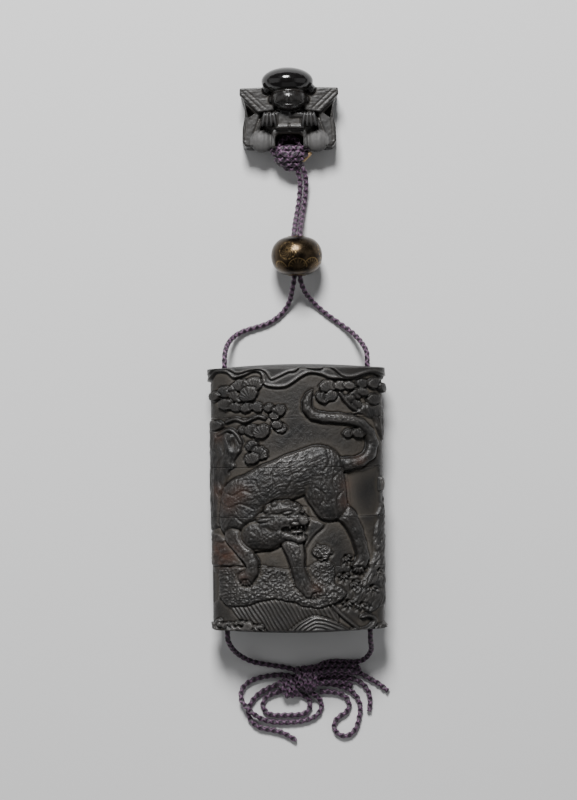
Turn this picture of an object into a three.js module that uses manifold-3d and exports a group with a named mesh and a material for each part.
// An inro, a small stacked case worn on a sash, with its cord, its sliding bead (ojime) and its toggle
// (netsuke). Four trays and a lid of dark carved wood slide on two runs of one silk cord. The set lies
// on its back as it is put down: +Y runs along the case from its base to the toggle, +Z is up.
// Units are millimetres. The origin is on the case's back, in the middle of the flat it lies on.
import * as THREE from "three";
import { mergeVertices } from "three/addons/utils/BufferGeometryUtils.js";
import Module from "manifold-3d";

const wasm = await Module();
wasm.setup();

// ---------------------------------------------------------------- driving dimensions
// The case's outline is a superellipse; GROUND is the sunk ground that the carving stands on.
const GROUND = { a: 28.4, b: 11.2, power: 2.3 };
const AXIS_Z = 12.3; // height of the case's long axis over the surface it lies on
const CASE_HALF = 44.0; // from the case's middle to the rim of its top or base
const CROWN = 1.5; // how far the top and the base swell past their rims
const SEAMS = [-22.6, -5.95, 10.7, 27.4]; // where the case comes apart, from the base up
const GAP = 0.3; // clearance between pieces that touch
const WALL = { floor: 1.5, crownFloor: 2.6, riser: 4.0, riserThick: 1.0 };
const CAVITY = { a: 20.2, b: 8.0 }; // inside of each tray
const CHANNEL = { x: 24.2, r: 1.5 }; // the two cord runs inside the side walls
const CORD_R = 0.95;
const BEAD = { x: 0.8, y: 81.9, z: 8.7, r: 8.7, half: 6.7, hole: 2.3, lip: 3.0 };
const TOGGLE = { x: -1.35 }; // middle of the toggle figure
const SIDES = { outer: 28, inner: 14, hole: 6 }; // faces round the case, a tray's inside and a cord run

const COLOURS = {
  wood: { color: 0x1b1714, roughness: 0.45, metalness: 0.0 },
  toggleWood: { color: 0x161412, roughness: 0.4, metalness: 0.0 },
  bead: { color: 0x3a2c1a, roughness: 0.35, metalness: 0.8 },
  silk: { color: 0x3a2238, roughness: 0.8, metalness: 0.0 },
  gilt: { color: 0xb98a45, roughness: 0.5, metalness: 0.3 },
};

// ---------------------------------------------------------------- solids
// A solid from a closed geometry: its faces are joined by position and flat ones are dropped.
function solid(geometry) {
  const bare = geometry.index ? geometry.toNonIndexed() : geometry.clone();
  for (const name of Object.keys(bare.attributes)) if (name !== "position") bare.deleteAttribute(name);
  const merged = mergeVertices(bare, 1e-4);
  const faces = [];
  const index = merged.index.array;
  for (let i = 0; i < index.length; i += 3) {
    const [a, b, c] = [index[i], index[i + 1], index[i + 2]];
    if (a !== b && b !== c && a !== c) faces.push(a, b, c);
  }
  const vertProperties = new Float32Array(merged.attributes.position.array);
  return new wasm.Manifold(new wasm.Mesh({ numProp: 3, vertProperties, triVerts: new Uint32Array(faces) }));
}

function geometryOf(manifold) {
  const mesh = manifold.getMesh();
  const position = new Float32Array(mesh.numVert * 3);
  for (let i = 0; i < mesh.numVert; i++) {
    position.set(mesh.vertProperties.subarray(i * mesh.numProp, i * mesh.numProp + 3), i * 3);
  }
  const geometry = new THREE.BufferGeometry();
  geometry.setAttribute("position", new THREE.BufferAttribute(position, 3));
  geometry.setIndex(new THREE.BufferAttribute(new Uint32Array(mesh.triVerts), 1));
  geometry.computeVertexNormals();
  return geometry;
}

// Moves each vertex of a geometry to the place that `place` gives it.
function bend(geometry, place) {
  const position = geometry.attributes.position;
  for (let i = 0; i < position.count; i++) {
    position.setXYZ(i, ...place(position.getX(i), position.getY(i), position.getZ(i)));
  }
  return geometry;
}

const clamp = (v, low, high) => Math.min(high, Math.max(low, v));
const vector = ([x, y, z]) => new THREE.Vector3(x, y, z);
const smooth = (points) => new THREE.CatmullRomCurve3(points.map(vector), false, "catmullrom", 0.5);
const box = (x, y, z, wide, high, deep) =>
  solid(new THREE.BoxGeometry(wide, high, deep).translate(x, y, z));
const shapeOf = (outline) => new THREE.Shape(outline.map(([x, y]) => new THREE.Vector2(x, y)));

// An outline in the XY plane, as a slab from z0 to z1.
function slab(outline, z0, z1) {
  const geometry = new THREE.ExtrudeGeometry(shapeOf(outline), { depth: z1 - z0, bevelEnabled: false });
  return solid(geometry.translate(0, 0, z0));
}

// ---------------------------------------------------------------- the case's wall
const superellipse = (a, b, turn) => {
  const [c, s] = [Math.cos(turn), Math.sin(turn)];
  const power = 2 / GROUND.power;
  return [a * Math.sign(s) * Math.abs(s) ** power, b * Math.sign(c) * Math.abs(c) ** power];
};

// The case's block, grown by `rise` over its ground, from y0 to y1. A crown swells an end.
const CROWN_RINGS = [0, 0.6, 0.88];
const endRings = (crown) => (crown ? CROWN_RINGS : [0]);

function wall(rise, y0, y1, crown0 = 0, crown1 = 0) {
  const start = endRings(crown0).map((r) => [r, y0 - crown0 * (1 - r * r)]);
  const end = endRings(crown1).map((r) => [r, y1 + crown1 * (1 - r * r)]);
  const profile = [...start, [1, y0], [1, y1], ...end.reverse()];
  const lathe = new THREE.LatheGeometry(profile.map(([r, y]) => new THREE.Vector2(r, y)), SIDES.outer);
  return solid(bend(lathe, (x, y, z) => {
    const [wide, deep] = superellipse(GROUND.a + rise, GROUND.b + rise, Math.atan2(x, z));
    const share = Math.hypot(x, z);
    return [share * wide, y, AXIS_Z + share * deep];
  }));
}

// A point at height h over the ground of the front, in front of (x, y).
function onFront(x, y, h) {
  const share = Math.min(0.97, Math.abs(x) / GROUND.a);
  const deep = GROUND.b * (1 - share ** GROUND.power) ** (1 / GROUND.power);
  const power = GROUND.power - 1;
  const slope = (GROUND.b / GROUND.a) * share ** power * (deep / GROUND.b) ** -power;
  const long = Math.hypot(1, slope);
  return [x + (h * Math.sign(x) * slope) / long, y, AXIS_Z + deep + h / long];
}
// The same on the back, where x runs to the right for someone who looks at the back.
const onBack = (x, y, h) => {
  const [wide, high, deep] = onFront(x, y, h);
  return [-wide, high, 2 * AXIS_Z - deep];
};

// ---------------------------------------------------------------- the carving
const SUNK = 1.5; // how far a carved form reaches into the wall that it stands on
const FORM = { sides: 8, step: 4.2 };

// A raised flat form: what the outline covers of the case's wall, grown to its level.
function plate({ outline, level }, side = 1) {
  const [z0, z1] = side > 0 ? [AXIS_Z, AXIS_Z + 30] : [AXIS_Z - 30, AXIS_Z];
  return slab(outline, z0, z1).intersect(wall(level, -CASE_HALF, CASE_HALF, CROWN, CROWN));
}

// A rounded form along a smooth run of [x, y, radius, lift] points, standing on the wall.
function limb(points, surface = onFront, step = FORM.step) {
  const route = smooth(points.map(([x, y]) => [x, y, 0]));
  const thick = smooth(points.map(([, , r, lift]) => [r, lift, 0]));
  const long = route.getLength();
  const rings = Math.max(2, Math.round(long / step));
  const start = points[0][2] / 2;
  const end = points.at(-1)[2] / 2;
  const profile = [[0, -2 * start], [0.75, -1.3 * start]];
  for (let i = 0; i <= rings; i++) profile.push([1, (long * i) / rings]);
  profile.push([0.75, long + 1.3 * end], [0, long + 2 * end]);
  const lathe = new THREE.LatheGeometry(profile.map(([r, y]) => new THREE.Vector2(r, y)), FORM.sides);
  return solid(bend(lathe, (across, along, up) => {
    const t = route.getUtoTmapping(clamp(along / long, 0, 1));
    const at = route.getPoint(t);
    const way = route.getTangent(t);
    const size = thick.getPoint(t);
    const beyond = along - clamp(along, 0, long);
    const x = at.x + way.x * beyond + way.y * across * size.x;
    const y = at.y + way.y * beyond - way.x * across * size.x;
    return surface(x, y, up > 0 ? up * size.y : -SUNK);
  }));
}

// A low round dome of [x, y, radius, height]: a tuft of needles, a boulder or an ear.
function dome([x, y, r, height], surface = onFront) {
  const sphere = new THREE.SphereGeometry(1, 6, 3).rotateX(Math.PI / 2);
  const lift = (pz) => (pz > 0.05 ? height * pz : -SUNK);
  return solid(bend(sphere, (px, py, pz) => surface(x + r * px, y + r * py, lift(pz))));
}

const TOP = 50; // beyond the case's ends
const SIDE = 34; // beyond its sides
const CLOUD = {
  level: 1.2,
  outline: [
    [-SIDE, 40], [-27, 42.6], [-20.9, 40.6], [-12.5, 42.3], [-10.8, 38.2], [-3.8, 37.4],
    [3.5, 41.6], [15, 40], [25.3, 41.7], [SIDE, 40], [SIDE, TOP], [-SIDE, TOP],
  ],
};
const SEA = {
  level: 1.0,
  outline: [
    [-SIDE, -TOP], [SIDE, -TOP], [SIDE, -42.5], [24, -43.3], [18.1, -44], [9.7, -39.9], [5.2, -39],
    [0.2, -41.1], [-2.9, -43.5], [-6.3, -44.7], [-SIDE, -44.8],
  ],
};
const ROCKS = [
  {
    level: 0.6,
    outline: [[-24.5, -33.5], [-20, -40.3], [-8.5, -45], [0.5, -42], [13.5, -42.5], [12.6, -34]],
  },
  {
    level: 1.1,
    outline: [
      [-26.5, -23.5], [-23, -36], [-8, -33.4], [2, -36.2], [11, -35.7], [16, -31.5], [12, -28.3],
      [12.2, -22.5], [7, -20.9], [-4, -23.4], [-14, -22.2],
    ],
  },
  { level: 0.7, outline: [[-SIDE, -10], [-SIDE, -22.6], [-18, -22.5], [-24, -12.5]] },
  {
    level: 0.7,
    outline: [[SIDE, 2], [27, -4], [25.5, -16], [18, -32], [18.5, -37], [26, -38], [SIDE, -36]],
  },
];
const TRUNKS = [
  {
    level: 0.8,
    outline: [
      [-SIDE, 27], [-SIDE, -12], [-25.3, -9.5], [-24, 4],
      [-20.8, 11], [-18, 18.5], [-20.5, 22.4], [-27, 27],
    ],
  },
  { level: 0.8, outline: [[19, 28.6], [24.6, 27], [27.6, 19.8], [SIDE, 20], [SIDE, 32], [22.5, 32.3]] },
];
// Tufts of pine needles, a boulder, foam and the tiger's ears, each [x, y, radius, height].
const TUFTS = [
  [-24.8, 35.5, 2.6, 1.1], [-20.4, 35.9, 3.2, 1.2], [-15.5, 37.0, 3.9, 1.1], [-22, 31.4, 2.9, 1.2],
  [-15.4, 30.9, 3.2, 1.1], [-8.5, 29.9, 2.8, 1.0], [-6.0, 24.4, 2.3, 1.0], [-13.4, 22.9, 3.6, 1.1],
  [-13.9, 15.6, 3.5, 1.1], [10, 36, 3.2, 1.0], [15.5, 38, 2.5, 1.1], [21, 35.8, 2.9, 1.1],
  [18.9, 32.3, 2.3, 1.1], [19, 21.9, 2.7, 1.0],
];
const STONES = [
  [8.3, -17.9, 2.7, 1.7], [26.2, 4.6, 2.6, 1.5], [-12, -39.5, 2.2, 1.4], [-17, -41, 2.0, 1.4],
];
const EARS = [[-10.2, -1.6, 1.9, 2.9], [-0.6, -0.9, 1.6, 2.9]];
const WAVES = [
  [[-4, -43.5, 0.9, 1.8], [0.5, -40.6, 1.1, 2.0], [6, -38.6, 1.2, 2.0], [9.4, -40.4, 0.9, 1.8]],
  [[12, -42.6, 0.9, 1.7], [17, -43.2, 1.0, 1.8], [20.4, -39.6, 1.0, 1.9], [17.8, -37.6, 0.8, 1.6]],
];

// The tiger's body and limbs, each a run of [x, y, radius, lift].
const TIGER = {
  back: [[8, 10.5, 7.2, 2.2], [-1, 8, 7.3, 2.1], [-9, 4.5, 7.4, 2.1], [-17.5, 0, 7.3, 2.2]],
  haunch: [[8.4, 9.5, 6.8, 2.2], [9.6, 1.5, 6.6, 2.3]],
  shoulder: [[-18.2, 0.5, 6.8, 2.3], [-18.4, -6.5, 7.0, 2.4]],
  chest: [[-17, -8.6, 6.2, 2.4], [-9.5, -11.5, 5.5, 2.3]],
  tail: [
    [5.3, 36.4, 0.7, 0.9], [3.5, 32.5, 1.6, 1.7], [5.4, 28.2, 1.7, 1.9], [14, 27, 1.7, 1.9],
    [21.6, 25.1, 1.6, 1.8], [24.6, 18.5, 1.6, 1.8], [21, 12.3, 1.8, 1.8], [13.2, 11.2, 2.4, 1.9],
  ],
  foreLegLeft: [
    [-21, -12.5, 3.4, 1.8], [-17.5, -17.6, 2.7, 2.0], [-15.3, -23.5, 2.2, 2.0], [-18.2, -27, 2.0, 1.9],
  ],
  foreLegRight: [[-1.9, -14.5, 3.9, 2.1], [0, -23.8, 2.4, 2.1], [1.6, -29, 2.5, 2.1], [6, -31.4, 1.8, 1.9]],
  hindLeg: [[15, -3, 4.6, 1.9], [18, -6.8, 3.4, 1.9], [22.9, -19.4, 1.9, 1.7], [19.8, -22.8, 1.7, 1.5]],
  farLeg: [[4.5, -4.5, 3.4, 1.0], [6.4, -8.2, 2.9, 1.0], [2.4, -18, 2.0, 1.0]],
  skull: [[-6, -5, 4.9, 3.0], [-3.2, -4.8, 4.4, 3.0]],
  ruff: [[-8.8, -8.6, 4.9, 2.8], [-6.8, -10.4, 4.3, 2.8]],
  muzzle: [[-3.6, -6.4, 3.1, 3.4], [2.2, -6.6, 2.3, 3.2]],
  jaw: [[-6.5, -12.2, 2.6, 2.8], [1.4, -12.7, 1.6, 2.6]],
};

// The hidden back is plainer: a full moon behind bamboo stems, between bands of cloud and sea.
const MOON = { r: 6.6, level: 1.5 };
const STEMS = [
  { foot: 19, head: 14, r: 1.5 },
  { foot: -14, head: -11, r: 1.7 },
  { foot: -22, head: -20, r: 1.2 },
];
const STEM = { lift: 1.2, step: 20 };
const BACK_PLATES = [
  { level: 1.2, outline: [[-SIDE, 40], [SIDE, 40], [SIDE, TOP], [-SIDE, TOP]] },
  { level: 1.2, outline: [[-SIDE, -TOP], [SIDE, -TOP], [SIDE, -42], [-SIDE, -42]] },
];

function moon() {
  const disc = new THREE.CylinderGeometry(MOON.r, MOON.r, AXIS_Z, 24).rotateX(Math.PI / 2);
  return solid(disc.translate(0, 0, AXIS_Z / 2)).intersect(wall(MOON.level, -CASE_HALF, CASE_HALF));
}

// The whole carved outside, in one piece: nothing reaches below the surface it lies on.
function carvedOutside() {
  const forms = [
    wall(0, -CASE_HALF, CASE_HALF, CROWN, CROWN),
    ...[CLOUD, SEA, ...ROCKS, ...TRUNKS].map((form) => plate(form)),
    ...[...TUFTS, ...STONES, ...EARS].map((form) => dome(form)),
    ...[...Object.values(TIGER), ...WAVES].map((form) => limb(form)),
    ...BACK_PLATES.map((form) => plate(form, -1)),
    ...STEMS.map(({ foot, head, r }) =>
      limb([[foot, -41, r, STEM.lift], [head, 41, r, STEM.lift]], onBack, STEM.step)),
    moon(),
  ];
  const whole = forms.reduce((sum, form) => sum.add(form));
  return whole.intersect(box(0, 0, 50, 200, 200, 100));
}

// ---------------------------------------------------------------- the case's pieces
// A straight prism of the case's section, of half-widths a and b, from y0 to y1.
function prism(a, b, y0, y1) {
  const turns = Array.from({ length: SIDES.inner }, (_, i) => (-2 * Math.PI * i) / SIDES.inner);
  const shape = shapeOf(turns.map((turn) => superellipse(a, b, turn)));
  const geometry = new THREE.ExtrudeGeometry(shape, { depth: y1 - y0, bevelEnabled: false });
  return solid(geometry.rotateX(-Math.PI / 2).translate(0, y0, AXIS_Z));
}

function channel(side) {
  const geometry = new THREE.CylinderGeometry(CHANNEL.r, CHANNEL.r, 2 * TOP, SIDES.hole);
  return solid(geometry.translate(side * CHANNEL.x, 0, AXIS_Z));
}

// One piece of the case. Each tray's riser stands up into a socket in the piece above it.
function casePiece(outside, level) {
  const isBase = level === 0;
  const isLid = level === SEAMS.length;
  const y0 = isBase ? -TOP : SEAMS[level - 1] + GAP / 2;
  const y1 = isLid ? TOP : SEAMS[level] - GAP / 2;
  const { riserThick: thick, riser } = WALL;
  const socketTop = y0 + riser + 2 * GAP;
  const floor = isBase ? WALL.crownFloor - CASE_HALF : socketTop + WALL.floor;
  let piece = outside.intersect(box(0, (y0 + y1) / 2, 0, 200, y1 - y0, 200));
  if (isLid) {
    piece = piece.subtract(prism(CAVITY.a, CAVITY.b, y0 - 1, CASE_HALF - WALL.crownFloor));
  } else {
    piece = piece.add(prism(CAVITY.a + thick, CAVITY.b + thick, y1 - 1, y1 + riser));
    piece = piece.subtract(prism(CAVITY.a, CAVITY.b, floor, y1 + riser + 1));
  }
  const fit = thick + GAP;
  if (!isBase) piece = piece.subtract(prism(CAVITY.a + fit, CAVITY.b + fit, y0 - 1, socketTop));
  return piece.subtract(channel(-1)).subtract(channel(1));
}

// ---------------------------------------------------------------- the cord
const FLOOR = 1.0; // height of a cord's middle where it lies on the surface
const OVER = 3.1; // the same where it lies on another cord
const TUBE_SIDES = 8;

// A tube along a smooth route, with a step about every `pitch`.
function tube(route, radius = CORD_R, pitch = 5.6) {
  const path = smooth(route);
  const outline = Array.from({ length: TUBE_SIDES }, (_, i) => {
    const turn = (2 * Math.PI * (i + 0.5)) / TUBE_SIDES;
    return new THREE.Vector2(radius * Math.cos(turn), radius * Math.sin(turn));
  });
  const steps = Math.min(80, Math.max(4, Math.round(path.getLength() / pitch)));
  const options = { steps, extrudePath: path, bevelEnabled: false };
  return solid(new THREE.ExtrudeGeometry(new THREE.Shape(outline), options));
}

// The two long runs: from the toggle's knot through the bead, down a side channel and to the bow.
const inside = (side) => [46.5, 40, 20, 0, -20, -40, -46].map((y) => [side * CHANNEL.x, y, AXIS_Z]);
const PAIR = 1.12; // half the distance between the two runs where they pass side by side
const pairedRun = (side) => [
  [2.2 + side * PAIR, 112.4, 5.0],
  [3.2 + side * PAIR, 108.2, 3.4],
  [2.8 + side * PAIR, 102.5, 2.2],
  [1.9 + side * PAIR, 97.0, 2.8],
  [BEAD.x + 0.3 + side * PAIR, 92.4, 6.2],
  [BEAD.x + side * PAIR, 88.6, BEAD.z],
  [BEAD.x + side * PAIR, 82.0, BEAD.z],
  [BEAD.x + side * PAIR, 75.2, BEAD.z],
];
const ROUTES = {
  cord_left: [
    ...pairedRun(-1),
    [-0.9, 71.2, 6.6], [-1.7, 67.6, 3.2], [-3.3, 64.6, 1.3], [-6.0, 61.8, FLOOR], [-9.4, 59.7, FLOOR],
    [-13.4, 58.4, FLOOR], [-17.7, 57.1, 1.3], [-21.0, 55.2, 2.9], [-23.1, 52.6, 6.6],
    [-24.0, 49.6, 10.6],
    ...inside(-1),
    [-24.0, -48.3, 11.4], [-22.7, -51.1, 8.4], [-20.3, -53.8, 4.6], [-16.4, -56.1, 1.9],
    [-12.1, -57.2, FLOOR], [-7.8, -57.9, FLOOR], [-3.9, -58.6, FLOOR], [-1.2, -59.4, 1.5],
  ],
  cord_right: [
    ...pairedRun(1),
    [2.8, 71.4, 6.6], [4.8, 68.4, 3.2], [7.5, 65.5, 1.3], [11.0, 62.5, FLOOR], [15.3, 59.3, FLOOR],
    [18.8, 56.7, 2.4], [21.4, 54.0, 5.2], [23.3, 51.2, 8.6], [24.1, 49.0, 10.9],
    ...inside(1),
    [24.3, -48.8, 11.3], [24.6, -52.0, 7.8], [23.5, -54.6, 4.0], [21.1, -56.4, 1.9],
    [17.0, -56.8, FLOOR], [12.2, -56.5, FLOOR], [8.6, -57.0, 1.4], [6.2, -58.0, 2.6],
  ],
  bow_loop_left: [
    [-1.6, -61.8, FLOOR], [-6.1, -61.0, FLOOR], [-12.2, -61.6, FLOOR], [-16.4, -62.9, FLOOR],
    [-19.3, -65.1, 1.2], [-20.1, -68.5, 2.4], [-18.4, -71.6, OVER], [-15.6, -74.3, 2.7],
    [-12.4, -76.2, 1.5], [-8.4, -77.2, FLOOR], [-3.6, -77.3, FLOOR], [1.0, -76.9, FLOOR],
    [4.9, -75.6, FLOOR], [7.0, -73.5, FLOOR], [7.5, -70.9, FLOOR], [6.1, -68.6, 1.6], [3.5, -66.9, 2.9],
    [1.2, -65.2, 3.6],
  ],
  bow_tail_left: [
    [-5.9, -63.7, FLOOR], [-10.2, -65.3, FLOOR], [-13.7, -67.2, FLOOR], [-16.2, -69.8, FLOOR],
    [-17.6, -72.9, FLOOR], [-16.9, -76.2, FLOOR], [-14.0, -78.9, FLOOR], [-9.5, -79.9, FLOOR],
    [-5.4, -81.1, FLOOR], [-1.3, -83.5, FLOOR],
  ],
  bow_loop_inner: [
    [-5.2, -66.3, FLOOR], [-7.4, -66.9, FLOOR], [-9.6, -67.6, FLOOR], [-11.8, -69.0, FLOOR],
    [-12.6, -71.5, FLOOR], [-11.2, -73.9, FLOOR], [-8.6, -74.8, FLOOR], [-4.4, -74.8, FLOOR],
    [-0.2, -74.7, FLOOR], [2.5, -73.7, FLOOR], [3.6, -71.3, FLOOR], [2.6, -68.9, FLOOR],
    [0.1, -67.8, FLOOR], [-2.4, -67.6, FLOOR],
  ],
  bow_loop_right: [
    [7.2, -64.2, FLOOR], [11.7, -64.5, FLOOR], [16.1, -65.8, FLOOR], [19.4, -68.4, FLOOR],
    [20.8, -72.2, FLOOR], [20.3, -76.2, FLOOR], [19.2, -79.6, FLOOR], [17.0, -81.8, FLOOR],
    [14.2, -82.0, FLOOR], [12.1, -80.2, FLOOR], [11.9, -77.6, FLOOR], [13.6, -75.5, FLOOR],
    [15.9, -74.0, FLOOR], [17.0, -71.4, FLOOR], [15.9, -68.9, FLOOR], [13.3, -67.5, FLOOR],
    [10.2, -67.0, FLOOR], [6.9, -66.9, FLOOR],
  ],
  bow_tail_right: [
    [7.8, -59.6, FLOOR], [11.8, -59.0, FLOOR], [17.4, -59.4, FLOOR], [21.1, -60.8, FLOOR],
    [24.1, -62.6, FLOOR], [26.9, -64.2, FLOOR], [30.4, -66.9, FLOOR],
  ],
  bow_tail_short: [
    [7.9, -61.9, FLOOR], [11.8, -61.8, FLOOR], [17.4, -62.4, FLOOR], [21.3, -64.1, FLOOR],
    [23.6, -67.0, FLOOR], [24.2, -70.4, FLOOR], [23.8, -73.8, FLOOR],
  ],
  toggle_loop: [
    [-4.75, 119.0, 5.6], [-4.6, 120.9, 5.2], [-3.3, 122.5, 4.7], [TOGGLE.x, 123.2, 4.6],
    [0.6, 122.5, 4.7], [1.9, 120.9, 5.2], [2.05, 119.0, 5.6],
  ],
};

const ellipsoid = (x, y, z, rx, ry, rz, sides = 8, rings = 6) => {
  const geometry = new THREE.SphereGeometry(1, sides, rings);
  return solid(geometry.scale(rx, ry, rz).translate(x, y, z));
};

// A knot is one lump of the wound cord's outer shape, hollowed where each cord's end meets it.
function knot(lump, routes) {
  return routes.reduce((rest, name) => rest.subtract(tube(ROUTES[name], CORD_R + GAP)), lump);
}

const knots = {
  toggle_knot: () => {
    const upper = ellipsoid(-1.35, 116.9, 6.9, 5.0, 5.0, 4.2);
    const lower = ellipsoid(-1.7, 114.3, 4.8, 6.6, 2.7, 3.3);
    return knot(upper.add(lower), ["cord_left", "cord_right", "toggle_loop"]);
  },
  bow_knot: () =>
    knot(ellipsoid(2.8, -62.2, 3.2, 4.9, 4.6, 3.15), [
      "cord_left", "cord_right", "bow_loop_left", "bow_loop_right", "bow_tail_right", "bow_tail_short",
    ]),
  bow_wrap: () => {
    const lump = ellipsoid(-4.0, -65.6, 2.4, 2.1, 3.6, 2.35);
    return knot(lump, ["bow_loop_left", "bow_tail_left", "bow_loop_inner"]);
  },
};

// ---------------------------------------------------------------- the bead and the toggle
function bead() {
  const { r, half, hole, lip } = BEAD;
  const steps = 8;
  const round = Array.from({ length: steps + 1 }, (_, i) => {
    const turn = Math.PI * (i / steps - 0.5);
    return [Math.max(lip, r * Math.cos(turn) ** 0.8), half * Math.sin(turn)];
  });
  const profile = [[hole, -half], ...round, [hole, half], [hole, -half]];
  const points = profile.map(([radius, along]) => new THREE.Vector2(radius, along));
  return solid(new THREE.LatheGeometry(points, 16).translate(BEAD.x, BEAD.y, BEAD.z));
}

const toggleSlab = (outline, z0, z1) => slab(outline.map(([x, y]) => [TOGGLE.x + x, y]), z0, z1);
const block = (x, ...rest) => box(TOGGLE.x + x, ...rest);
const ball = (x, ...rest) => ellipsoid(TOGGLE.x + x, ...rest);

// A kneeling man in a winged vest bows over his fists. The cord passes behind a web between his knees.
const VEST = [
  [-16.2, 126], [-9, 118.6], [9, 118.6], [16.2, 126],
  [16.4, 137.6], [15.4, 139.4], [-15.4, 139.4], [-16.4, 137.6],
];
const SLEEVE = [[9.8, 131.2], [13.4, 118.4], [15.9, 119.0], [16.4, 125], [15.4, 131.5], [16.6, 137.6]];
const HOLLOW = [[-5.5, 110], [5.5, 110], [5.5, 123.4], [4.4, 124.6], [-4.4, 124.6], [-5.5, 123.4]];
const WEB = { y: 124.2, z: 5.6, wide: 1.8, high: 3.2, deep: 7.0, eye: 1.4 };

function toggle() {
  const mirrored = (outline, side) => {
    const points = outline.map(([x, y]) => [side * x, y]);
    return side > 0 ? points : points.reverse();
  };
  let figure = toggleSlab(VEST, 0, 5.0);
  figure = figure.add(ball(0, 129, 7.0, 10.4, 7.4, 6.8, 10, 6));
  for (const side of [-1, 1]) {
    figure = figure.add(toggleSlab(mirrored(SLEEVE, side), 1, 10.5));
    figure = figure.add(ball(side * 9.0, 121.3, 7.4, 4.7, 3.9, 6.4, 8, 6));
  }
  figure = figure.add(block(0, 127.0, 7.0, 14, 4.6, 10.4));
  figure = figure.subtract(toggleSlab(HOLLOW, 2.3, 30));
  const eye = new THREE.CylinderGeometry(WEB.eye, WEB.eye, 6, SIDES.hole).rotateZ(Math.PI / 2);
  const web = block(0, WEB.y, WEB.z, WEB.wide, WEB.high, WEB.deep);
  figure = figure.add(web.subtract(solid(eye.translate(TOGGLE.x, WEB.y - 1, WEB.z - 1))));
  for (const side of [-1, 1]) figure = figure.add(ball(side * 6.4, 128.8, 12.6, 2.3, 2.8, 2.4, 8, 5));
  const crown = ball(-0.5, 141.4, 11.2, 8.5, 4.8, 7.6, 14, 8);
  const face = ball(0, 135.6, 11.8, 6.5, 4.6, 6.8, 12, 7);
  const nose = ball(0, 135.9, 18.3, 1.3, 1.0, 0.8, 6, 4);
  return figure.add(crown).add(face).add(nose);
}

// A short bound tip of gilt thread that stands out of the toggle's knot.
const TIP = { x: 5.6, y: 115.7, z: 3.2, r: 0.75, straight: 2.4, lean: -0.8 };

function giltTip() {
  const geometry = new THREE.CapsuleGeometry(TIP.r, TIP.straight, 2, 8);
  return solid(geometry.rotateZ(TIP.lean).translate(TIP.x, TIP.y, TIP.z));
}

// ---------------------------------------------------------------- the set
const materials = Object.fromEntries(
  Object.entries(COLOURS).map(([name, look]) => [name, new THREE.MeshStandardMaterial(look)]),
);
const inro = new THREE.Group();
function place(name, manifold, look) {
  const mesh = new THREE.Mesh(geometryOf(manifold), materials[look]);
  mesh.name = name;
  inro.add(mesh);
}

const PIECES = ["base_tray", "lower_tray", "middle_tray", "upper_tray", "lid"];
const outside = carvedOutside();
PIECES.forEach((name, level) => place(name, casePiece(outside, level), "wood"));
for (const [name, route] of Object.entries(ROUTES)) place(name, tube(route), "silk");
for (const [name, make] of Object.entries(knots)) place(name, make(), "silk");
place("ojime_bead", bead(), "bead");
place("netsuke_figure", toggle(), "toggleWood");
place("gilt_tip", giltTip(), "gilt");

export default inro;
